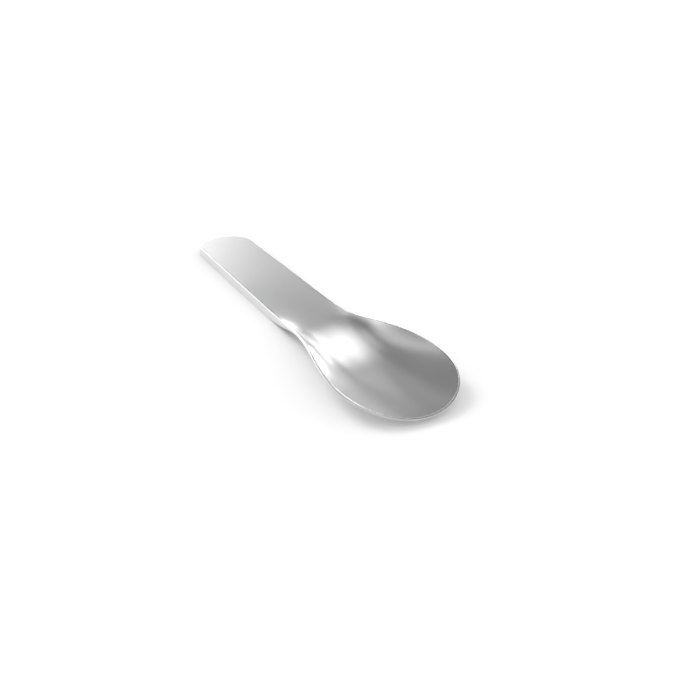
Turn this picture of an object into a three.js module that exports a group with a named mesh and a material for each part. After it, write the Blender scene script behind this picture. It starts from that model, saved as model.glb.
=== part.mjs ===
// Pocket spoon pressed from one sheet of stainless steel. Lengths are in millimetres.
// X runs from the round end of the handle to the tip of the bowl, Y runs across and Z points up
// from the table. The spoon lies bowl up: the turned-down edge of the handle and the bottom of the
// bowl touch the table. Widths are measured between the upper edges.
import * as THREE from 'three';

const { clamp, lerp, smoothstep, smootherstep } = THREE.MathUtils;

// Plan: a blunt round handle end, nearly parallel sides, a long flare and a full round nose.
const handleLength = 74.5;
const bowlLength = 90.5;
const handleWidth = 22.5;
const handleEndLength = 8.5;
const neckWidth = 23.2;
const bowlWidth = 41;
const noseLength = 22;
const noseFullness = 2.1;
const flareBias = 1.53;

// Side view: a level handle, a floor that dips to the table and a rim that rises and falls.
const sheet = 0.8;
const handleHeight = 3.9;
const dipStart = 17;
const floorToTip = 34;
const tipHeight = 2.4;
const rimHeight = 9;
const crownToTip = 44;
const rimRise = 56;
const rimStart = 2.2;
const rimFallBias = 2.9;
const floorRiseBias = 2.3;

// Cross-section: at the neck flat in the middle with turned-up rims, further on an even dish.
const neckDishBias = 3.7;
const bowlDishBias = 2;
const dishChangeStart = 35;
const dishChangeLength = 46;

// Turned-down edge of the handle, and where it runs out along the neck.
const foldRadius = 0.5;
const insideFoldRadius = 0.3;
const rimEdgeRadius = 0.25;
const wallRunOut = 30;

// How finely the curves are cut.
const endSteps = 12;
const sideSteps = 4;
const flareSteps = 22;
const skinSteps = 10;
const foldSteps = 3;
const insideFoldSteps = 2;
const slopeStepShare = 0.01;

const overallLength = handleLength + bowlLength;
const widestX = overallLength - noseLength;
const floorX = overallLength - floorToTip;
const crownX = overallLength - crownToTip;

// Half of the width of the spoon at a distance x from the handle end: half an ellipse at the end
// and a slightly squarer one at the nose.
function halfWidth(x) {
  if (x < handleEndLength) {
    return (handleWidth / 2) * Math.sqrt(Math.max(0, 1 - (1 - x / handleEndLength) ** 2));
  }
  if (x < handleLength) {
    const along = (x - handleEndLength) / (handleLength - handleEndLength);
    return lerp(handleWidth, neckWidth, along) / 2;
  }
  if (x < widestX) {
    const along = ((x - handleLength) / (widestX - handleLength)) ** flareBias;
    return lerp(neckWidth, bowlWidth, smoothstep(along, 0, 1)) / 2;
  }
  const left = Math.max(0, 1 - ((x - widestX) / noseLength) ** noseFullness);
  return (bowlWidth / 2) * left ** (1 / noseFullness);
}

// Height of the upper skin along the middle: level past the handle, down into the bowl, then gently
// up to the tip.
function floorHeight(x) {
  const dip = smootherstep(x, handleLength + dipStart, floorX);
  const rise = Math.max(0, (x - floorX) / floorToTip) ** floorRiseBias;
  return lerp(handleHeight, sheet, dip) + (tipHeight - sheet) * rise;
}

// Height of the upper skin at the rim: level, up to a crown beside the bowl, then down to the tip.
function edgeHeight(x) {
  const start = handleLength + rimStart;
  const rise = smootherstep(x, start, start + rimRise);
  const fall = Math.max(0, (x - crownX) / crownToTip) ** rimFallBias;
  return lerp(handleHeight, rimHeight, rise) - (rimHeight - tipHeight) * fall;
}

// Power of the cross-section's curve: large for a flat middle, 2 for an even dish.
function dishBias(x) {
  const start = handleLength + dishChangeStart;
  return lerp(neckDishBias, bowlDishBias, smoothstep(x, start, start + dishChangeLength));
}

// Height of the upper skin anywhere: each cross-section is a dish between the floor and the rim.
function skinHeight(x, y) {
  const inside = clamp(x, 0, overallLength);
  const reach = Math.max(halfWidth(inside), sheet * slopeStepShare);
  const across = Math.min(Math.abs(y) / reach, 1 + slopeStepShare);
  const floor = floorHeight(inside);
  return floor + (edgeHeight(inside) - floor) * across ** dishBias(inside);
}

// Upward normal of the upper skin, from its slope along and across.
function skinNormal(x, y) {
  const step = sheet * slopeStepShare;
  const back = clamp(x - step, 0, overallLength - step);
  const alongSlope = (skinHeight(back + step, y) - skinHeight(back, y)) / step;
  const acrossSlope = (skinHeight(x, Math.abs(y)) - skinHeight(x, Math.abs(y) - step)) / step;
  const side = y < 0 ? -1 : 1;
  return new THREE.Vector3(-alongSlope, -acrossSlope * side, 1).normalize();
}

// What is left of the turned-down edge: 1 along the handle, 0 in the bowl.
function wallShare(x) {
  return 1 - smoothstep(x, handleLength, handleLength + wallRunOut);
}

// Points of the outline on the +Y side, each with the point of the middle line that it looks to.
function sideStations() {
  const stations = [];
  for (let i = 0; i < endSteps; i += 1) {
    const x = handleEndLength * (1 - Math.cos((Math.PI / 2) * (i / endSteps)));
    stations.push({ x, y: halfWidth(x), middle: handleEndLength });
  }
  for (let i = 0; i < sideSteps; i += 1) {
    const x = lerp(handleEndLength, handleLength, i / sideSteps);
    stations.push({ x, y: halfWidth(x), middle: x });
  }
  for (let i = 0; i < flareSteps; i += 1) {
    const x = lerp(handleLength, widestX, i / flareSteps);
    stations.push({ x, y: halfWidth(x), middle: x });
  }
  for (let i = 0; i <= endSteps; i += 1) {
    const x = widestX + noseLength * Math.sin((Math.PI / 2) * (i / endSteps)) ** (2 / noseFullness);
    stations.push({ x, y: halfWidth(x), middle: widestX });
  }
  return stations;
}

// The whole outline, once round: the +Y side out and the -Y side back. Each point is given its
// outward direction in plan, square to the line between its neighbours.
function loopStations() {
  const side = sideStations();
  const back = side.slice(1, -1).reverse();
  const loop = [...side, ...back.map(({ x, y, middle }) => ({ x, y: -y, middle }))];
  return loop.map((station, j) => {
    const before = loop.at(j - 1);
    const after = loop[(j + 1) % loop.length];
    const outward = new THREE.Vector3(before.y - after.y, after.x - before.x, 0).normalize();
    return { ...station, outward };
  });
}

// A quarter turn from one direction to another, as points about a centre.
function quarterTurn(centre, from, to, radius, steps) {
  const points = [];
  for (let i = 0; i <= steps; i += 1) {
    const angle = (Math.PI / 2) * (i / steps);
    const point = centre.clone();
    point.addScaledVector(from, radius * Math.cos(angle));
    point.addScaledVector(to, radius * Math.sin(angle));
    points.push(point);
  }
  return points;
}

// Points of one skin from the middle line towards an end point, which is left out. The depth is
// taken square to the upper skin: zero for that skin itself, the sheet's thickness for the lower.
function skinPoints(middle, end, depth) {
  const points = [];
  for (let i = 0; i < skinSteps; i += 1) {
    const share = i / skinSteps;
    const point = new THREE.Vector3(lerp(middle, end.x, share), end.y * share, 0);
    point.z = skinHeight(point.x, point.y);
    points.push(point.addScaledVector(skinNormal(point.x, point.y), -depth));
  }
  return points;
}

// One cross-section of the sheet, from the middle of the upper skin out to the edge, down the
// turned-down wall, round its foot and back along the lower skin to the middle.
function section({ x, y, middle, outward }) {
  const corner = new THREE.Vector3(x, y, skinHeight(x, y));
  const up = skinNormal(x, y);
  const out = outward.clone().addScaledVector(up, -outward.dot(up)).normalize();
  const down = up.clone().negate();
  const place = (inset, depth) =>
    corner.clone().addScaledVector(out, -inset).addScaledVector(down, depth);

  const left = wallShare(x);
  const radius = lerp(rimEdgeRadius, foldRadius, left);
  const drop = (handleHeight - sheet) * left;
  const insideRadius = Math.min(insideFoldRadius * left, drop);
  const bend = sheet + insideRadius;

  const upper = skinPoints(middle, place(radius, 0), 0);
  const fold = quarterTurn(place(radius, radius), up, out, radius, foldSteps);
  const foot = [place(0, sheet + drop), place(sheet, sheet + drop)];
  const insideFold = quarterTurn(place(bend, bend), out, up, insideRadius, insideFoldSteps);
  const lower = skinPoints(middle, place(bend, 0), sheet);
  return [...upper, ...fold, ...foot, ...insideFold, ...lower.reverse()];
}

// Joins neighbouring sections with triangles. Points that fall together are one vertex.
function skinSections(sections) {
  const positions = [];
  const known = new Map();
  const vertex = (point) => {
    const key = point.toArray().map((value) => Math.round(value / (sheet * 1e-6))).join();
    if (!known.has(key)) {
      known.set(key, positions.length / 3);
      positions.push(...point.toArray());
    }
    return known.get(key);
  };
  const rows = sections.map((points) => points.map(vertex));
  const triangles = [];
  const add = (a, b, c) => {
    if (a !== b && b !== c && c !== a) {
      triangles.push(a, b, c);
    }
  };
  rows.forEach((row, j) => {
    const next = rows[(j + 1) % rows.length];
    for (let i = 0; i + 1 < row.length; i += 1) {
      add(row[i], next[i + 1], row[i + 1]);
      add(row[i], next[i], next[i + 1]);
    }
  });
  const geometry = new THREE.BufferGeometry();
  geometry.setAttribute('position', new THREE.Float32BufferAttribute(positions, 3));
  geometry.setIndex(triangles);
  geometry.computeVertexNormals();
  return geometry;
}

const steel = new THREE.MeshStandardMaterial({ color: 0xc4c6c8, roughness: 0.32, metalness: 1 });

const spoon = new THREE.Mesh(skinSections(loopStations().map(section)), steel);
spoon.name = 'spoon';

// The origin is under the middle of the spoon, on the table.
spoon.geometry.computeBoundingBox();
const box = spoon.geometry.boundingBox;
spoon.position.set(-(box.min.x + box.max.x) / 2, -(box.min.y + box.max.y) / 2, -box.min.z);

const model = new THREE.Group();
model.add(spoon);

export default model;
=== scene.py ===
"""Pocket spoon pressed from one sheet of satin stainless steel, on a white table in soft light.

Lengths are in metres. X runs from the round end of the handle to the tip of the bowl, Y runs across
and Z points up from the table. The spoon is one piece, so one class makes it and dresses it.
"""
import logging
import math
from dataclasses import dataclass, fields
from enum import Enum

import bmesh
import bpy
from mathutils import Matrix, Vector


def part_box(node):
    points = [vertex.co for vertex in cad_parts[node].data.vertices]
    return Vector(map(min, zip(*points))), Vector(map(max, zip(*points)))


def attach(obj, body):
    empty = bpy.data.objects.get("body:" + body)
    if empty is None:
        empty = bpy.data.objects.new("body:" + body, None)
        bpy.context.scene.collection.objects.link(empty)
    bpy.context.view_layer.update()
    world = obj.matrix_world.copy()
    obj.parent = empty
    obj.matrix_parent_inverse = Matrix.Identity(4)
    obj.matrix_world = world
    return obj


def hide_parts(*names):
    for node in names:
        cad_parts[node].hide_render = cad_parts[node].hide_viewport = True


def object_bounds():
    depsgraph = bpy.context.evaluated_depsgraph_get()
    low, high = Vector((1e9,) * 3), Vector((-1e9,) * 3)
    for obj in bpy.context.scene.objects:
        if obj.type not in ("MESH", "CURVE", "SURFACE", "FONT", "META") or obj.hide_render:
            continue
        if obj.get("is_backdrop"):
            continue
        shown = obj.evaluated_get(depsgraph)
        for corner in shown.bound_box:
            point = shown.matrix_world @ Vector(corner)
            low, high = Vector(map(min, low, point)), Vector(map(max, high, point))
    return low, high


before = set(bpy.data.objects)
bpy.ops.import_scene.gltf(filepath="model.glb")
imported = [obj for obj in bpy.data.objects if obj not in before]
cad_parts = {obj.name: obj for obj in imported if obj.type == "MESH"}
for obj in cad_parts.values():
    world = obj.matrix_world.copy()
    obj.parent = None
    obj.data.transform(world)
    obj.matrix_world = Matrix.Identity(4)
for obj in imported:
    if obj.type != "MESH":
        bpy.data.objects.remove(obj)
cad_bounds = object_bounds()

log = logging.getLogger("pocket_spoon")

Number = int | float
Colour = tuple[float, float, float]


class Maths(Enum):
    """What a Math node does to its values, or a Vector Math node to its vectors."""

    PLUS = "ADD"
    MINUS = "SUBTRACT"
    TIMES = "MULTIPLY"
    OVER = "DIVIDE"
    POWER = "POWER"
    LARGER = "MAXIMUM"
    SMALLER = "MINIMUM"
    ROOT = "SQRT"
    SINE = "SINE"
    COSINE = "COSINE"
    ABOVE = "GREATER_THAN"
    SCALE = "SCALE"
    DOT = "DOT_PRODUCT"
    UNIT = "NORMALIZE"


class Ease(Enum):
    """How a value goes from one end of a range to the other."""

    EVEN = "LINEAR"
    SOFT = "SMOOTHSTEP"
    SOFTER = "SMOOTHERSTEP"


class Heading(Enum):
    """A direction in a cross-section of the sheet, as shares of outward and of upward."""

    OUT = (1, 0)
    DOWN = (0, -1)
    INWARD = (-1, 0)
    UP = (0, 1)


@dataclass(frozen=True)
class Term:
    """A value or vector in a node tree, which Python's operators join with further nodes."""

    bench: "Bench"
    socket: bpy.types.NodeSocket

    @property
    def is_vector(self) -> bool:
        """Whether the socket carries a vector."""
        return self.socket.type == "VECTOR"

    def __add__(self, other: "Value") -> "Term":
        """Adds a value or vector."""
        return self.bench.maths(Maths.PLUS, self, other)

    def __radd__(self, other: "Value") -> "Term":
        """Is added to a number or vector."""
        return self.bench.maths(Maths.PLUS, other, self)

    def __sub__(self, other: "Value") -> "Term":
        """Takes a value or vector away."""
        return self.bench.maths(Maths.MINUS, self, other)

    def __rsub__(self, other: "Value") -> "Term":
        """Is taken away from a number or vector."""
        return self.bench.maths(Maths.MINUS, other, self)

    def __mul__(self, other: "Value") -> "Term":
        """Multiplies by a value, which scales a vector."""
        return self.bench.times(self, other)

    def __rmul__(self, other: "Value") -> "Term":
        """Multiplies a number."""
        return self.bench.times(self, other)

    def __truediv__(self, other: "Value") -> "Term":
        """Divides by a value."""
        return self.bench.maths(Maths.OVER, self, other)

    def __rtruediv__(self, other: "Value") -> "Term":
        """Divides a number."""
        return self.bench.maths(Maths.OVER, other, self)

    def __pow__(self, other: "Value") -> "Term":
        """Raises to a power."""
        return self.bench.maths(Maths.POWER, self, other)

    def __neg__(self) -> "Term":
        """Changes the sign."""
        return self.bench.times(self, -1)

    def __gt__(self, other: "Value") -> "Term":
        """Gives 1 where the value is larger than the other, and 0 elsewhere."""
        return self.bench.maths(Maths.ABOVE, self, other)

    def __lt__(self, other: "Value") -> "Term":
        """Gives 1 where the value is smaller than the other, and 0 elsewhere."""
        return self.bench.maths(Maths.ABOVE, other, self)

    def at_least(self, least: "Value") -> "Term":
        """Raises what is smaller to the least value."""
        return self.bench.maths(Maths.LARGER, self, least)

    def at_most(self, most: "Value") -> "Term":
        """Lowers what is larger to the most value."""
        return self.bench.maths(Maths.SMALLER, self, most)

    def between(self, least: "Value", most: "Value") -> "Term":
        """Keeps the value within two others."""
        return self.at_least(least).at_most(most)

    def root(self) -> "Term":
        """Gives the square root."""
        return self.bench.maths(Maths.ROOT, self)

    def sine(self) -> "Term":
        """Gives the sine."""
        return self.bench.maths(Maths.SINE, self)

    def cosine(self) -> "Term":
        """Gives the cosine."""
        return self.bench.maths(Maths.COSINE, self)

    def towards(self, other: "Value", share: "Value") -> "Term":
        """Goes a share of the way to another value."""
        return self + (other - self) * share

    def dot(self, other: "Value") -> "Term":
        """Gives the dot product of two vectors."""
        return self.bench.maths(Maths.DOT, self, other, output="Value")

    def unit(self) -> "Term":
        """Gives the vector at a length of 1."""
        return self.bench.maths(Maths.UNIT, self)

    def part(self, axis: str) -> "Term":
        """Gives the X, Y or Z of a vector."""
        return self.bench.term("ShaderNodeSeparateXYZ", values={0: self}, output=axis)


Value = Term | Number | Vector


class Bench:
    """Adds and joins the nodes of one tree, which makes a finish or a mesh."""

    def __init__(self, tree: bpy.types.NodeTree) -> None:
        """Takes the tree to work on.

        Args:
            tree: The node tree, new or emptied.
        """
        self.tree = tree

    @classmethod
    def on(cls, owner: bpy.types.Material | bpy.types.World) -> "Bench":
        """Empties the tree of a new material or world, to work on it.

        Args:
            owner: The material or world.

        Returns:
            A bench with the empty tree.
        """
        owner.use_nodes = True
        owner.node_tree.nodes.clear()
        return cls(owner.node_tree)

    def node(
        self,
        kind: str,
        settings: dict[str, object] | None = None,
        values: dict[int | str, object] | None = None,
    ) -> bpy.types.Node:
        """Adds a node of any type.

        Args:
            kind: Blender's name for the type.
            settings: Properties by name, which are set before the sockets.
            values: What the sockets take, by the socket's name or number. A Term is linked, a list
                of Terms is linked in order, and anything else becomes the socket's own value.

        Returns:
            The new node.
        """
        node = self.tree.nodes.new(kind)
        for name, setting in (settings or {}).items():
            setattr(node, name, setting)
        for key, value in (values or {}).items():
            socket = node.inputs[key]
            for item in value if isinstance(value, list) else [value]:
                if isinstance(item, Term):
                    self.tree.links.new(item.socket, socket)
                else:
                    socket.default_value = item
        return node

    def term(
        self,
        kind: str,
        settings: dict[str, object] | None = None,
        values: dict[int | str, object] | None = None,
        output: int | str = 0,
    ) -> Term:
        """Adds a node and gives one of its outputs.

        Args:
            kind: Blender's name for the type.
            settings: Properties by name.
            values: What the sockets take.
            output: The name or number of the output.

        Returns:
            The output, ready for Python's operators.
        """
        return Term(self, self.node(kind, settings, values).outputs[output])

    def maths(self, what: Maths, *terms: Value, output: int | str = 0) -> Term:
        """Adds a Math node, or a Vector Math node where a vector takes part.

        Args:
            what: The operation.
            terms: One or two values.
            output: The name or number of the output.

        Returns:
            The result.
        """
        vectors = [t for t in terms if isinstance(t, Vector) or (isinstance(t, Term) and t.is_vector)]
        kind = "ShaderNodeVectorMath" if vectors else "ShaderNodeMath"
        return self.term(kind, {"operation": what.value}, dict(enumerate(terms)), output)

    def times(self, one: Value, other: Value) -> Term:
        """Multiplies two values, or scales a vector by a value.

        Args:
            one: A value or vector.
            other: A value or vector.

        Returns:
            The product.
        """
        if isinstance(other, Term) and other.is_vector:
            one, other = other, one
        if isinstance(one, Term) and one.is_vector and not isinstance(other, Vector):
            values = {"Vector": one, "Scale": other}
            return self.term("ShaderNodeVectorMath", {"operation": Maths.SCALE.value}, values)
        return self.maths(Maths.TIMES, one, other)

    def ramp(
        self,
        value: Term,
        start: Value,
        end: Value,
        low: Value = 0,
        high: Value = 1,
        ease: Ease = Ease.SOFT,
    ) -> Term:
        """Takes a value from one range to another, and holds it at the ends.

        Args:
            value: What is mapped.
            start: The value that gives low.
            end: The value that gives high.
            low: The result at the start.
            high: The result at the end.
            ease: How the result goes from one to the other.

        Returns:
            The mapped value.
        """
        values = {"Value": value, "From Min": start, "From Max": end, "To Min": low, "To Max": high}
        return self.term("ShaderNodeMapRange", {"interpolation_type": ease.value}, values)

    def vector(self, x: Value, y: Value, z: Value) -> Term:
        """Joins three values to a vector.

        Args:
            x: Along the spoon.
            y: Across it.
            z: Upwards.

        Returns:
            The vector.
        """
        return self.term("ShaderNodeCombineXYZ", values={"X": x, "Y": y, "Z": z})


def add_object(name: str, data: bpy.types.ID) -> bpy.types.Object:
    """Puts a mesh, a light or a camera into the scene.

    Args:
        name: The object's name.
        data: The mesh, light or camera.

    Returns:
        The object, at the origin.
    """
    thing = bpy.data.objects.new(name, data)
    bpy.context.scene.collection.objects.link(thing)
    return thing


@dataclass(frozen=True)
class Stretch:
    """A stretch of the sheet's edge in cross-section, straight or a quarter turn.

    Attributes:
        rows: How many rows of faces it has.
        size: Its length, or its radius where it turns.
        heading: The direction in which it starts.
        turn_to: The direction in which a quarter turn ends, or None where the stretch is straight.
    """

    rows: int
    size: Value
    heading: Heading
    turn_to: Heading | None = None

    def move(self, share: Term) -> tuple[Value, Value]:
        """Says how far a part of the stretch goes.

        Args:
            share: How much of the stretch is passed, from 0 to 1.

        Returns:
            The way outwards and the way upwards.
        """
        if self.turn_to is None:
            return tuple(share * (self.size * part) for part in self.heading.value)
        angle = share * (math.pi / 2)
        along, aside = angle.sine(), 1 - angle.cosine()
        pairs = zip(self.heading.value, self.turn_to.value)
        return tuple((along * first + aside * second) * self.size for first, second in pairs)


@dataclass(frozen=True)
class SpoonSizes:
    """The spoon's own sizes, in metres. A bias is a power that shapes a curve."""

    # Plan: a blunt round handle end, nearly parallel sides, a long flare and a full round nose.
    handle_length: float = 0.0745
    bowl_length: float = 0.0905
    handle_width: float = 0.0225
    handle_end_length: float = 0.0085
    neck_width: float = 0.0232
    bowl_width: float = 0.041
    nose_length: float = 0.022
    nose_fullness: float = 2.1
    flare_bias: float = 1.53

    # Side view: a level handle, a floor that dips to the table and a rim that rises and falls. The
    # rim is 0.01 mm lower than the CAD model's, so that every point stays inside the CAD box.
    sheet: float = 0.0008
    handle_height: float = 0.0039
    dip_start: float = 0.017
    floor_to_tip: float = 0.034
    tip_height: float = 0.0024
    rim_height: float = 0.00899
    crown_to_tip: float = 0.044
    rim_rise: float = 0.056
    rim_start: float = 0.0022
    rim_fall_bias: float = 2.9
    floor_rise_bias: float = 2.3

    # Cross-section: at the neck flat in the middle with turned-up rims, further on an even dish.
    neck_dish_bias: float = 3.7
    bowl_dish_bias: float = 2.0
    dish_change_start: float = 0.035
    dish_change_length: float = 0.046

    # Turned-down edge of the handle, edge of the rim, and where the wall runs out along the neck.
    fold_radius: float = 0.0005
    inside_fold_radius: float = 0.0003
    rim_edge_radius: float = 0.00038
    foot_edge_radius: float = 0.00038
    wall_run_out: float = 0.03


class SheetForm:
    """The rule that the pressed sheet follows, written as the nodes of one tree.

    Half of the spoon is a grid: its columns run along the outline from the handle end to the tip,
    and its rows go from the middle line out over the upper skin, round the edge and back underneath.
    """

    # How finely the sheet is cut, along it and round a cross-section.
    COLUMNS = 400
    UPPER_ROWS = 40
    FOLD_ROWS = 7
    WALL_ROWS = 4
    FOOT_CORNER_ROWS = 3
    FOOT_ROWS = 1
    INNER_WALL_ROWS = 3
    INNER_FOLD_ROWS = 4
    LOWER_ROWS = 30

    # The grid starts as a square round the origin, and half a row tells one row from the next.
    GRID_SIZE = 1.0
    HALF_ROW = 0.5

    # The length over which a slope is measured, and the one within which points are sewn together.
    SLOPE_STEP = 2e-5
    SEAM = 2e-7

    # The share that is taken off the nose's curve, so that it closes at the tip.
    TIP_CLOSING = 1e-6

    # How far out the curve of a cross-section is followed, where 1 is the outline.
    FARTHEST_OUT = 1.01

    # The name under which each point keeps its distance from the edge.
    EDGE_DISTANCE = "from_edge"

    def __init__(self, bench: Bench, sizes: dict[str, Term]) -> None:
        """Takes the tree and the named inputs.

        Args:
            bench: The tree's bench.
            sizes: The group's inputs, by the names of the sizes.
        """
        self.bench = bench
        self.size = sizes
        self.length = sizes["handle_length"] + sizes["bowl_length"]
        self.widest = self.length - sizes["nose_length"]
        self.floor_start = self.length - sizes["floor_to_tip"]
        self.crown = self.length - sizes["crown_to_tip"]

    def side_half_width(self, x: Term) -> Term:
        """Gives half of the width between the sides, as if both ends were cut square.

        Args:
            x: The distance from the handle end.

        Returns:
            Half of the width.
        """
        size = self.size
        handle = self.bench.ramp(
            x, size["handle_end_length"], size["handle_length"],
            size["handle_width"], size["neck_width"], Ease.EVEN,
        )
        along = self.bench.ramp(x, size["handle_length"], self.widest, ease=Ease.EVEN)
        flare = self.bench.ramp(along ** size["flare_bias"], 0, 1)
        return (handle + (size["bowl_width"] - size["neck_width"]) * flare) * 0.5

    def end_shares(self, x: Term) -> tuple[Term, Term]:
        """Says how far a place lies into the round handle end and into the nose.

        Args:
            x: The distance from the handle end.

        Returns:
            Both shares, from 0 where the end begins to 1 at the outermost point.
        """
        size = self.size
        end = (1 - x / size["handle_end_length"]).at_least(0)
        nose = ((x - self.widest) / size["nose_length"]).at_least(0)
        return end, nose

    def nose_left(self, nose: Term) -> Term:
        """Gives what the nose's curve leaves of the width, before its root is taken.

        Args:
            nose: How far a place lies into the nose.

        Returns:
            1 at the widest place, and 0 at the tip.
        """
        return (1 - self.TIP_CLOSING - nose ** self.size["nose_fullness"]).at_least(0)

    def half_width(self, x: Term) -> Term:
        """Gives half of the spoon's width.

        Args:
            x: The distance from the handle end.

        Returns:
            Half of the width.
        """
        end, nose = self.end_shares(x)
        narrowing = self.nose_left(nose) ** (1 / self.size["nose_fullness"])
        return self.side_half_width(x) * (1 - end * end).root() * narrowing

    def outward(self, x: Term) -> Term:
        """Gives the direction square to the outline, in plan.

        Args:
            x: The distance from the handle end.

        Returns:
            A unit vector.
        """
        # The slopes of the sides, the round end and the nose, each times what is left of the width
        # there, so that nothing is divided by zero at the two ends.
        size = self.size
        end, nose = self.end_shares(x)
        fullness = size["nose_fullness"]
        ahead = self.side_half_width(x + self.SLOPE_STEP)
        behind = self.side_half_width(x - self.SLOPE_STEP)
        slope = (ahead - behind) / (2 * self.SLOPE_STEP)
        backwards = end * size["handle_width"] / (2 * size["handle_end_length"])
        forwards = nose ** (fullness - 1) * size["bowl_width"] / (2 * size["nose_length"])
        sideways = (1 - end * end).root() * self.nose_left(nose) ** ((fullness - 1) / fullness)
        return self.bench.vector(forwards - backwards - slope, sideways, 0).unit()

    def floor_height(self, x: Term) -> Term:
        """Gives the height of the upper skin along the middle line.

        Args:
            x: The distance from the handle end.

        Returns:
            The height.
        """
        size = self.size
        level = self.bench.ramp(
            x, size["handle_length"] + size["dip_start"], self.floor_start,
            size["handle_height"], size["sheet"], Ease.SOFTER,
        )
        way = ((x - self.floor_start) / size["floor_to_tip"]).at_least(0)
        rise = way ** size["floor_rise_bias"]
        return level + (size["tip_height"] - size["sheet"]) * rise

    def edge_height(self, x: Term) -> Term:
        """Gives the height of the upper skin at the outline.

        Args:
            x: The distance from the handle end.

        Returns:
            The height.
        """
        size = self.size
        start = size["handle_length"] + size["rim_start"]
        level = self.bench.ramp(
            x, start, start + size["rim_rise"],
            size["handle_height"], size["rim_height"], Ease.SOFTER,
        )
        way = ((x - self.crown) / size["crown_to_tip"]).at_least(0)
        fall = way ** size["rim_fall_bias"]
        return level - (size["rim_height"] - size["tip_height"]) * fall

    def dish_bias(self, x: Term) -> Term:
        """Gives the power of the cross-section's curve, large for a flat middle and 2 for a dish.

        Args:
            x: The distance from the handle end.

        Returns:
            The power.
        """
        size = self.size
        start = size["handle_length"] + size["dish_change_start"]
        end = start + size["dish_change_length"]
        return self.bench.ramp(x, start, end, size["neck_dish_bias"], size["bowl_dish_bias"])

    def dish(self, x: Term, y: Term) -> tuple[Term, Term]:
        """Gives the upper skin's height and its slope across.

        Args:
            x: The distance from the handle end.
            y: The distance from the middle line.

        Returns:
            The height and the slope.
        """
        half_width = self.half_width(x).at_least(self.SLOPE_STEP)
        bias = self.dish_bias(x)
        across = (y / half_width).at_most(self.FARTHEST_OUT)
        floor = self.floor_height(x)
        depth = self.edge_height(x) - floor
        slope = depth * bias * across ** (bias - 1) / half_width
        return floor + depth * across ** bias, slope

    def upward(self, x: Term, y: Term, height: Term, slope: Term) -> Term:
        """Gives the direction square to the upper skin.

        Args:
            x: The distance from the handle end.
            y: The distance from the middle line.
            height: The skin's height there.
            slope: The skin's slope across there.

        Returns:
            A unit vector.
        """
        before = (x - self.SLOPE_STEP).at_least(0)
        height_before, _ = self.dish(before, y)
        run = (x - before).at_least(self.SLOPE_STEP / 2)
        along = (height - height_before) / run
        return self.bench.vector(-along, -slope, 1).unit()

    def edge(self, x: Term) -> tuple[Term, Term, list[Stretch]]:
        """Lists the stretches from the upper skin round the edge to the lower skin.

        Args:
            x: The distance from the handle end.

        Returns:
            How far in from the outline the edge starts above and ends below, and the stretches.
        """
        size = self.size
        sheet = size["sheet"]
        wall = self.bench.ramp(
            x, size["handle_length"], size["handle_length"] + size["wall_run_out"], 1, 0
        )
        radius = size["rim_edge_radius"].towards(size["fold_radius"], wall)
        drop = (size["handle_height"] - sheet) * wall
        foot = size["foot_edge_radius"]
        inner_foot = foot.at_most(drop / 2)
        bend = (size["inside_fold_radius"] * wall).at_most(drop - inner_foot)
        stretches = [
            Stretch(self.FOLD_ROWS, radius, Heading.OUT, Heading.DOWN),
            Stretch(self.WALL_ROWS, sheet + drop - radius - foot, Heading.DOWN),
            Stretch(self.FOOT_CORNER_ROWS, foot, Heading.DOWN, Heading.INWARD),
            Stretch(self.FOOT_ROWS, sheet - foot - inner_foot, Heading.INWARD),
            Stretch(self.FOOT_CORNER_ROWS, inner_foot, Heading.INWARD, Heading.UP),
            Stretch(self.INNER_WALL_ROWS, drop - inner_foot - bend, Heading.UP),
            Stretch(self.INNER_FOLD_ROWS, bend, Heading.UP, Heading.INWARD),
        ]
        return radius, sheet + bend, stretches

    def along_edge(self, row: Term, stretches: list[Stretch]) -> tuple[Value, Value]:
        """Says how far the sheet has gone round its edge at a row.

        Args:
            row: The row's number.
            stretches: The stretches of the edge, in order.

        Returns:
            The way outwards and the way upwards from where the edge starts.
        """
        outwards, upwards = 0, 0
        first_row = self.UPPER_ROWS
        for stretch in stretches:
            share = ((row - first_row) / stretch.rows).between(0, 1)
            move_out, move_up = stretch.move(share)
            outwards, upwards = move_out + outwards, move_up + upwards
            first_row += stretch.rows
        return outwards, upwards

    def within_skin(self, plan: Term, depth: Term) -> Term:
        """Lifts a point from the plan to the upper skin, or to a depth below it.

        Args:
            plan: The point as seen from above.
            depth: How far below the upper skin it lies, square to it.

        Returns:
            The point in its place.
        """
        x, y = plan.part("X"), plan.part("Y")
        height, slope = self.dish(x, y)
        up = self.upward(x, y, height, slope)
        return plan + self.bench.vector(0, 0, height) - up * depth

    def place(self, column: Term, row: Term, edge_rows: int) -> tuple[Term, Term]:
        """Puts a point of the grid where it lies on the spoon.

        Args:
            column: How far the column lies along the outline, from 0 to 1.
            row: The row's number.
            edge_rows: The number of rows round the edge.

        Returns:
            The point, and its distance from the edge measured along the skin.
        """
        bench = self.bench
        lower_start = self.UPPER_ROWS + edge_rows
        above = row < self.UPPER_ROWS - self.HALF_ROW
        below = row > lower_start + self.HALF_ROW
        over = (row / self.UPPER_ROWS).at_most(1)
        under = ((row - lower_start) / self.LOWER_ROWS).at_least(0)

        # The columns are closer together towards both ends, where the outline turns.
        x = (1 - (column * math.pi).cosine()) * self.length * 0.5
        y = self.half_width(x)
        height, slope = self.dish(x, y)
        up = self.upward(x, y, height, slope)
        outward = self.outward(x)
        out = (outward - up * outward.dot(up)).unit()
        start_above, start_below, stretches = self.edge(x)
        outwards, upwards = self.along_edge(row, stretches)
        start = bench.vector(x, y, height) - out * start_above
        edge_point = start + out * outwards + up * upwards

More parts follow.
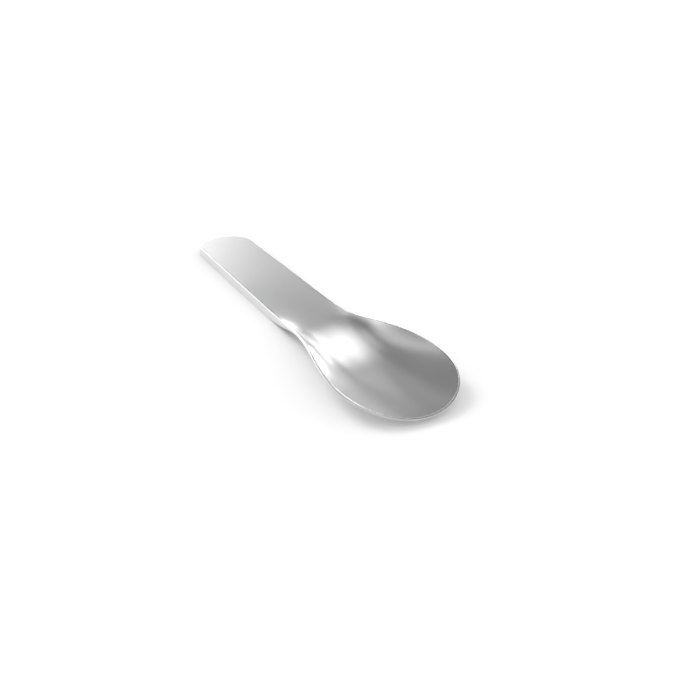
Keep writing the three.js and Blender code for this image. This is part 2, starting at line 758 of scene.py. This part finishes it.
        # Each column meets the middle line at its own place, but those of a round end all meet in
        # one point.
        inset = out * start_above.towards(start_below, below)
        corner = bench.vector(x - inset.part("X"), y - inset.part("Y"), 0)
        middle = bench.vector(x.between(self.size["handle_end_length"], self.widest), 0, 0)
        plan = middle + (corner - middle) * (over - under)
        skin_point = self.within_skin(plan, self.size["sheet"] * below)
        point = edge_point.towards(skin_point, above + below)
        reach = (corner - middle).dot((corner - middle).unit())
        return point, reach * (1 - over + under)

    def press(self, finish: Term) -> Term:
        """Bends a flat grid to half of the spoon, mirrors it and sews both halves together.

        Args:
            finish: The material's input.

        Returns:
            The finished geometry, with the handle end at the input named handle end place.
        """
        bench = self.bench
        _, _, stretches = self.edge(self.length)
        edge_rows = sum(stretch.rows for stretch in stretches)
        rows = self.UPPER_ROWS + edge_rows + self.LOWER_ROWS
        cut = {"Vertices X": self.COLUMNS + 1, "Vertices Y": rows + 1}
        square = {"Size X": self.GRID_SIZE, "Size Y": self.GRID_SIZE}
        grid = bench.term("GeometryNodeMeshGrid", values={**square, **cut}, output="Mesh")
        spot = bench.term("GeometryNodeInputPosition")
        corner = self.GRID_SIZE / 2
        column, row = spot.part("X") + corner, (spot.part("Y") + corner) * rows
        point, distance = self.place(column, row, edge_rows)

        marked = bench.term(
            "GeometryNodeStoreNamedAttribute", {"data_type": "FLOAT", "domain": "POINT"},
            {"Geometry": grid, "Name": self.EDGE_DISTANCE, "Value": distance},
        )
        half = bench.term("GeometryNodeSetPosition", values={"Geometry": marked, "Position": point})
        across = {"Geometry": half, "Scale": (1, -1, 1)}
        mirrored = bench.term("GeometryNodeTransform", values=across)
        turned = bench.term("GeometryNodeFlipFaces", values={0: mirrored})
        both = bench.term("GeometryNodeJoinGeometry", values={0: [half, turned]})
        seam = {"Geometry": both, "Distance": self.SEAM}
        sewn = bench.term("GeometryNodeMergeByDistance", values=seam)
        shift = {"Geometry": sewn, "Translation": bench.vector(self.size["handle_end_place"], 0, 0)}
        placed = bench.term("GeometryNodeTransform", values=shift)
        smooth = bench.term("GeometryNodeSetShadeSmooth", values={0: placed, "Shade Smooth": True})
        real = bench.term("GeometryNodeRealizeInstances", values={0: smooth})
        dressing = {"Geometry": real, "Material": finish}
        return bench.term("GeometryNodeSetMaterial", values=dressing)


@dataclass(frozen=True)
class SatinSteel:
    """Stainless steel with a satin grain along the spoon and a polished edge.

    Attributes:
        colour: The steel's own colour, a neutral grey.
        roughness: The satin's mean roughness.
        roughness_play: How much the grain and the faint clouds in the satin change it.
        edge_roughness: The roughness of the polished edge.
        edge_width: How far in from the edge the polish reaches.
        full_polish_share: How much of that width is polished fully.
        grain_pitch: How wide a line of the grain is.
        grain_length: How long a line of the grain is.
        grain_depth: How deep the grain is.
        grain_detail: How finely the grain is broken up.
        cloud_size: How large the clouds are.
        cloud_detail: How finely the clouds are broken up.
    """

    colour: Colour = (0.78, 0.78, 0.78)
    roughness: float = 0.3
    roughness_play: float = 0.05
    edge_roughness: float = 0.24
    edge_width: float = 0.0002
    full_polish_share: float = 0.3
    grain_pitch: float = 0.00018
    grain_length: float = 0.02
    grain_depth: float = 6e-7
    grain_detail: float = 3.0
    cloud_size: float = 0.018
    cloud_detail: float = 2.0

    def material(self) -> bpy.types.Material:
        """Makes the material.

        Returns:
            The material, which reads Object coordinates and the distance from the edge.
        """
        material = bpy.data.materials.new("satin_steel")
        bench = Bench.on(material)
        spot = bench.term("ShaderNodeTexCoord", output="Object")
        along, across = 1 / self.grain_length, 1 / self.grain_pitch
        stretch = {"Vector": spot, "Scale": (along, across, across)}
        lines = {
            "Vector": bench.term("ShaderNodeMapping", values=stretch),
            "Scale": 1.0,
            "Detail": self.grain_detail,
        }
        patches = {"Vector": spot, "Scale": 1 / self.cloud_size, "Detail": self.cloud_detail}
        grain = bench.term("ShaderNodeTexNoise", values=lines)
        clouds = bench.term("ShaderNodeTexNoise", values=patches)

        edge = {"attribute_name": SheetForm.EDGE_DISTANCE}
        distance = bench.term("ShaderNodeAttribute", edge, output="Fac")
        full_polish = self.edge_width * self.full_polish_share
        polish = bench.ramp(distance, full_polish, self.edge_width, 1, 0)
        satin = self.roughness + (grain + clouds - 1) * self.roughness_play
        relief = {"Height": grain, "Distance": self.grain_depth, "Strength": 1 - polish}
        look = {
            "Base Color": (*self.colour, 1),
            "Metallic": 1.0,
            "Roughness": satin.towards(self.edge_roughness, polish),
            "Normal": bench.term("ShaderNodeBump", values=relief),
        }
        steel = bench.term("ShaderNodeBsdfPrincipled", values=look)
        bench.node("ShaderNodeOutputMaterial", values={"Surface": steel})
        return material


@dataclass(frozen=True)
class Spoon:
    """The pocket spoon: one pressed sheet, dressed in satin steel."""

    name: str = "pressed_spoon"
    sizes: SpoonSizes = SpoonSizes()
    finish: SatinSteel = SatinSteel()

    def build(self) -> bpy.types.Object:
        """Makes the sheet as a plain mesh and lets it stand for the CAD piece.

        Returns:
            The finished piece.
        """
        piece = add_object(self.name, bpy.data.meshes.new(self.name))
        self._press(piece)
        self._turn_faces_out(piece.data)
        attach(piece, "root")
        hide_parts("spoon")
        return piece

    def _press(self, piece: bpy.types.Object) -> None:
        """Runs the sheet's node tree on a piece and keeps the result as its mesh.

        Args:
            piece: An object with an empty mesh.
        """
        low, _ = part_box("spoon")
        given = {field.name: getattr(self.sizes, field.name) for field in fields(self.sizes)}
        given["handle_end_place"] = low.x
        tree = bpy.data.node_groups.new("pressed_sheet", "GeometryNodeTree")
        kinds = {name: "NodeSocketFloat" for name in given} | {"finish": "NodeSocketMaterial"}
        sockets = {
            name: tree.interface.new_socket(name.replace("_", " "), in_out="INPUT", socket_type=kind)
            for name, kind in kinds.items()
        }
        tree.interface.new_socket("Geometry", in_out="OUTPUT", socket_type="NodeSocketGeometry")
        bench = Bench(tree)
        entry = bench.node("NodeGroupInput")
        terms = {name: Term(bench, entry.outputs[i]) for i, name in enumerate(sockets)}
        geometry = SheetForm(bench, terms).press(terms["finish"])
        bench.node("NodeGroupOutput", values={0: geometry})

        modifier = piece.modifiers.new("pressed_sheet", "NODES")
        modifier.node_group = tree
        for name, value in given.items():
            modifier[sockets[name].identifier] = value
        modifier[sockets["finish"].identifier] = self.finish.material()
        evaluated = piece.evaluated_get(bpy.context.evaluated_depsgraph_get())
        blank, pressed = piece.data, bpy.data.meshes.new_from_object(evaluated)
        piece.modifiers.clear()
        piece.data = pressed
        bpy.data.meshes.remove(blank)
        pressed.name = self.name

    def _turn_faces_out(self, mesh: bpy.types.Mesh) -> None:
        """Points every face of the closed sheet outwards.

        Args:
            mesh: The sewn mesh.
        """
        work = bmesh.new()
        work.from_mesh(mesh)
        bmesh.ops.recalc_face_normals(work, faces=work.faces)
        open_edges = sum(1 for edge in work.edges if len(edge.link_faces) != 2)
        work.to_mesh(mesh)
        work.free()
        log.info("%s: %d faces, %d open edges", mesh.name, len(mesh.polygons), open_edges)


@dataclass(frozen=True)
class Viewpoint:
    """The photograph's camera, which looks at a point on the table under the bowl.

    Attributes:
        turn: The angle from the X axis to the picture's right, in degrees.
        elevation: How steeply the camera looks down, in degrees.
        distance: How far it stands from the point that it looks at.
        aim_from_handle_end: How far that point is from the handle end.
        aim_aside: How far that point is from the middle line.
        focal_pixels: The focal length, in the photograph's pixels.
        picture_pixels: The photograph's width in pixels.
        sensor: The sensor's width, in millimetres.
        nearest: The nearest distance that the camera shows.
    """

    turn: float = 61.49
    elevation: float = 27.03
    distance: float = 0.3186
    aim_from_handle_end: float = 0.11295
    aim_aside: float = 0.00242
    focal_pixels: float = 950.0
    picture_pixels: float = 700.0
    sensor: float = 36.0
    nearest: float = 0.01

    def axes(self) -> tuple[Vector, Vector, Vector]:
        """Works out how the camera is turned.

        Returns:
            Its right, its up and its backward direction.
        """
        turn, tilt = math.radians(self.turn), math.radians(self.elevation)
        right = Vector((math.cos(turn), math.sin(turn), 0))
        away = Vector((-math.sin(turn), math.cos(turn), 0))
        above = Vector((0, 0, 1))
        back = above * math.sin(tilt) - away * math.cos(tilt)
        return right, away * math.sin(tilt) + above * math.cos(tilt), back

    def build(self) -> None:
        """Makes the camera the scene's camera."""
        low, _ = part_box("spoon")
        aim = Vector((low.x + self.aim_from_handle_end, self.aim_aside, 0))
        right, up, back = self.axes()
        data = bpy.data.cameras.new("camera")
        data.sensor_width = self.sensor
        data.lens = self.focal_pixels / self.picture_pixels * self.sensor
        data.clip_start = self.nearest
        camera = add_object("camera", data)
        turned = Matrix((right, up, back)).transposed().to_4x4()
        camera.matrix_world = Matrix.Translation(aim + back * self.distance) @ turned
        bpy.context.scene.camera = camera


def direction(turn: float, tilt: float) -> Vector:
    """Gives a direction in the room.

    Args:
        turn: The angle from the X axis, in degrees.
        tilt: The angle above the table, in degrees.

    Returns:
        A unit vector from the middle of the spoon.
    """
    turn, tilt = math.radians(turn), math.radians(tilt)
    level = math.cos(tilt)
    return Vector((math.cos(turn) * level, math.sin(turn) * level, math.sin(tilt)))


@dataclass(frozen=True)
class Window:
    """A wide, far window that lights the table evenly and softly from one side.

    Attributes:
        name: The light's name.
        turn: Where it stands, as the angle from the X axis in degrees.
        elevation: How high it stands, as the angle above the table in degrees.
        spread: How wide it looks from the table, in degrees.
        strength: What it gives to a surface that faces it, in watts per square metre.
    """

    name: str
    turn: float
    elevation: float
    spread: float
    strength: float

    def build(self) -> None:
        """Hangs the light, which stays out of the steel."""
        data = bpy.data.lights.new(self.name, "SUN")
        data.angle = math.radians(self.spread)
        data.energy = self.strength
        light = add_object(self.name, data)
        towards_light = direction(self.turn, self.elevation)
        light.rotation_euler = towards_light.to_track_quat("Z", "Y").to_euler()
        light.visible_glossy = False


@dataclass(frozen=True)
class Card:
    """A curved card round the table with soft edges, which shows in the steel and lights nothing.

    Attributes:
        name: The card's name.
        turns: Where it starts and ends, as angles from the X axis in degrees.
        tilts: Where its lower and upper edges are, as angles above the table in degrees. An edge below
            the table or past the zenith isn't seen, and the card is cut off there without a fade.
        soft_edge: How wide the fade at an edge is, in degrees.
        radiance: How bright the card is, where 1 is white.
    """

    name: str
    turns: tuple[float, float]
    tilts: tuple[float, float]
    soft_edge: float
    radiance: float

    # The names under which each corner of the card keeps its angles.
    TURN = "turn"
    TILT = "tilt"

    # Angles in degrees: from corner to corner at most, of the table top, and straight up.
    STEP = 4.0
    LEVEL = 0.0
    ZENITH = 90.0

    def build(self, distance: float) -> None:
        """Hangs the card.

        Args:
            distance: How far the card is from the middle of the spoon.
        """
        half = self.soft_edge / 2
        across = self._places(self.turns[0] - half, self.turns[1] + half)
        lowest = max(self.tilts[0] - half, self.LEVEL)
        highest = min(self.tilts[1] + half, self.ZENITH)
        upwards = self._places(lowest, highest)
        spots = [(turn, tilt) for tilt in upwards for turn in across]
        row = len(across)
        starts = [j * row + i for j in range(len(upwards) - 1) for i in range(row - 1)]
        mesh = bpy.data.meshes.new(self.name)
        corners = [direction(turn, tilt) * distance for turn, tilt in spots]
        faces = [(start, start + row, start + row + 1, start + 1) for start in starts]
        mesh.from_pydata(corners, [], faces)
        for name, angles in zip((self.TURN, self.TILT), zip(*spots)):
            mesh.attributes.new(name, "FLOAT", "POINT").data.foreach_set("value", angles)
        mesh.materials.append(self._material())
        card = add_object(self.name, mesh)
        card.visible_camera = False
        card.visible_diffuse = False
        card.visible_shadow = False
        card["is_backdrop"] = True

    def _places(self, start: float, end: float) -> list[float]:
        """Lists angles from one to another, a step or a little less apart.

        Args:
            start: The first angle, in degrees.
            end: The last angle, in degrees.

        Returns:
            The angles, with both ends.
        """
        count = math.ceil((end - start) / self.STEP)
        return [start + (end - start) * i / count for i in range(count + 1)]

    def _material(self) -> bpy.types.Material:
        """Makes the card's look.

        Returns:
            The material, an even glow that fades out at the edges.
        """
        material = bpy.data.materials.new(self.name)
        bench = Bench.on(material)

        # The steel finds the card by its own reflected rays, so it isn't sampled as a lamp.
        material.cycles.emission_sampling = "NONE"
        sideways = self._within(bench, self.TURN, self.turns)
        cover = sideways * self._within(bench, self.TILT, self.tilts)
        glow = bench.term("ShaderNodeEmission", values={"Strength": self.radiance})
        clear = bench.term("ShaderNodeBsdfTransparent")
        card = bench.term("ShaderNodeMixShader", values={0: cover, 1: clear, 2: glow})
        bench.node("ShaderNodeOutputMaterial", values={"Surface": card})
        return material

    def _within(self, bench: Bench, name: str, limits: tuple[float, float]) -> Term:
        """Gives 1 between two angles and 0 outside them, with soft edges.

        Args:
            bench: The material's bench.
            name: The attribute that holds the angle.
            limits: The angles of the edges.

        Returns:
            The share that the card covers.
        """
        half = self.soft_edge / 2
        angle = bench.term("ShaderNodeAttribute", {"attribute_name": name}, output="Fac")
        start, end = limits
        after_start = bench.ramp(angle, start - half, start + half)
        return after_start * bench.ramp(angle, end - half, end + half, 1, 0)


@dataclass(frozen=True)
class Studio:
    """A white table in a white room, with a window and with cards that the steel reflects.

    Attributes:
        floor_size: How long the sides of the table top are.
        floor_colour: The colour of the table top, which is matt.
        floor_lift: What the table top glows by itself for the camera and the metal, where 1 is white.
        room_light: How strongly the room lights the table, where 1 is white.
        nearest_card: How far the foremost card is from the middle of the spoon.
        card_gap: How far each card is behind the one before it.
        window: The light that gives the table its shadow.
        cards: The cards, the foremost first.
    """

    floor_size: float = 30.0
    floor_colour: Colour = (0.95, 0.95, 0.95)
    floor_lift: float = 0.06
    room_light: float = 0.82
    nearest_card: float = 10.0
    card_gap: float = 0.2
    window: Window = Window("window", turn=200, elevation=40, spread=26, strength=0.96)

    # Most of the cards' numbers weren't chosen by hand. A program searched for them, to bring the
    # steel's greys near those of the photograph.
    cards: tuple[Card, ...] = (
        Card("soft_header", (136, 147), (29.75, 69), 3, 2.81),
        Card("bright_slit", (126.25, 135), (14.75, 31), 3, 7.48),
        Card("low_strip", (149.75, 170), (-20, 9.5), 3, 8.52),
        Card("dark_header", (162, 218.5), (30.5, 54.5), 13, 0.05),
        Card("dark_gap", (130.5, 161.5), (4.25, 42.5), 12, 0.07),
        Card("side_wall", (175.5, 226), (-20, 34.5), 22, 1.66),
        Card("low_panel", (138, 167), (-20, 26.5), 8, 2.6),
        Card("dark_side", (27, 134.5), (11.5, 80), 4, 0.1),
        Card("overhead", (141.5, 231.25), (40.75, 119), 4, 1.27),
        Card("front", (262, 416), (-20, 50), 16, 0.35),
        Card("canopy", (56, 262), (-20, 130), 16, 0.2),
    )

    def build(self) -> None:
        """Sets up the floor, the room, the window and the cards."""
        bpy.context.scene.view_settings.view_transform = "Standard"
        self._floor()
        self._room()
        self.window.build()
        for place, card in enumerate(self.cards):
            card.build(self.nearest_card + self.card_gap * place)

    def _seen(self, bench: Bench) -> Term:
        """Tells the rays that see the room's white from those that only light the table.

        Args:
            bench: The bench of the material or world.

        Returns:
            1 for rays that come from the camera, or from metal or glass, and 0 for others.
        """
        path = bench.node("ShaderNodeLightPath")
        kinds = ("Is Camera Ray", "Is Glossy Ray", "Is Transmission Ray")
        camera, glossy, transmission = (Term(bench, path.outputs[kind]) for kind in kinds)
        return (camera + glossy + transmission).at_most(1)

    def _floor(self) -> None:
        """Lays the table top, which is white to the camera and the metal and keeps its shadow."""
        material = bpy.data.materials.new("white_table")
        bench = Bench.on(material)
        matt = bench.term("ShaderNodeBsdfDiffuse", values={"Color": (*self.floor_colour, 1)})
        glow = self._seen(bench) * self.floor_lift
        lift = bench.term("ShaderNodeEmission", values={"Strength": glow})
        both = bench.term("ShaderNodeAddShader", values={0: matt, 1: lift})
        bench.node("ShaderNodeOutputMaterial", values={"Surface": both})
        mesh = bpy.data.meshes.new("table")
        half = self.floor_size / 2
        corners = [(-half, -half, 0), (half, -half, 0), (half, half, 0), (-half, half, 0)]
        mesh.from_pydata(corners, [], [(0, 1, 2, 3)])
        mesh.materials.append(material)
        table = add_object("table", mesh)
        table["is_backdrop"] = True

    def _room(self) -> None:
        """Makes the room white to the camera and the metal, and a plain soft light to the rest."""
        world = bpy.data.worlds.new("room")
        bench = Bench.on(world)
        seen = self._seen(bench)
        light = {"Color": (1, 1, 1, 1), "Strength": seen + (1 - seen) * self.room_light}
        white = bench.term("ShaderNodeBackground", values=light)
        bench.node("ShaderNodeOutputWorld", values={"Surface": white})

        # The room is even, so it isn't sampled as a lamp either.
        world.cycles.sampling_method = "NONE"
        bpy.context.scene.world = world


def write_sizes() -> None:
    """Puts the CAD model's box and the visual model's box side by side in a dictionary, which nothing
    keeps.
    """

    def as_lists(bounds: object) -> object:
        """Turns vectors and nested sequences to plain lists."""
        return [as_lists(item) if hasattr(item, "__len__") else float(item) for item in bounds]

    {"cad": as_lists(cad_bounds), "visual": as_lists(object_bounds())}


def main() -> None:
    """Builds the camera, the spoon and the studio."""
    logging.basicConfig(level=logging.INFO, format="%(name)s: %(message)s")
    Viewpoint().build()
    piece = Spoon().build()
    log.info("built %s", piece.name)
    Studio().build()
    write_sizes()


if __name__ == "__main__":
    main()
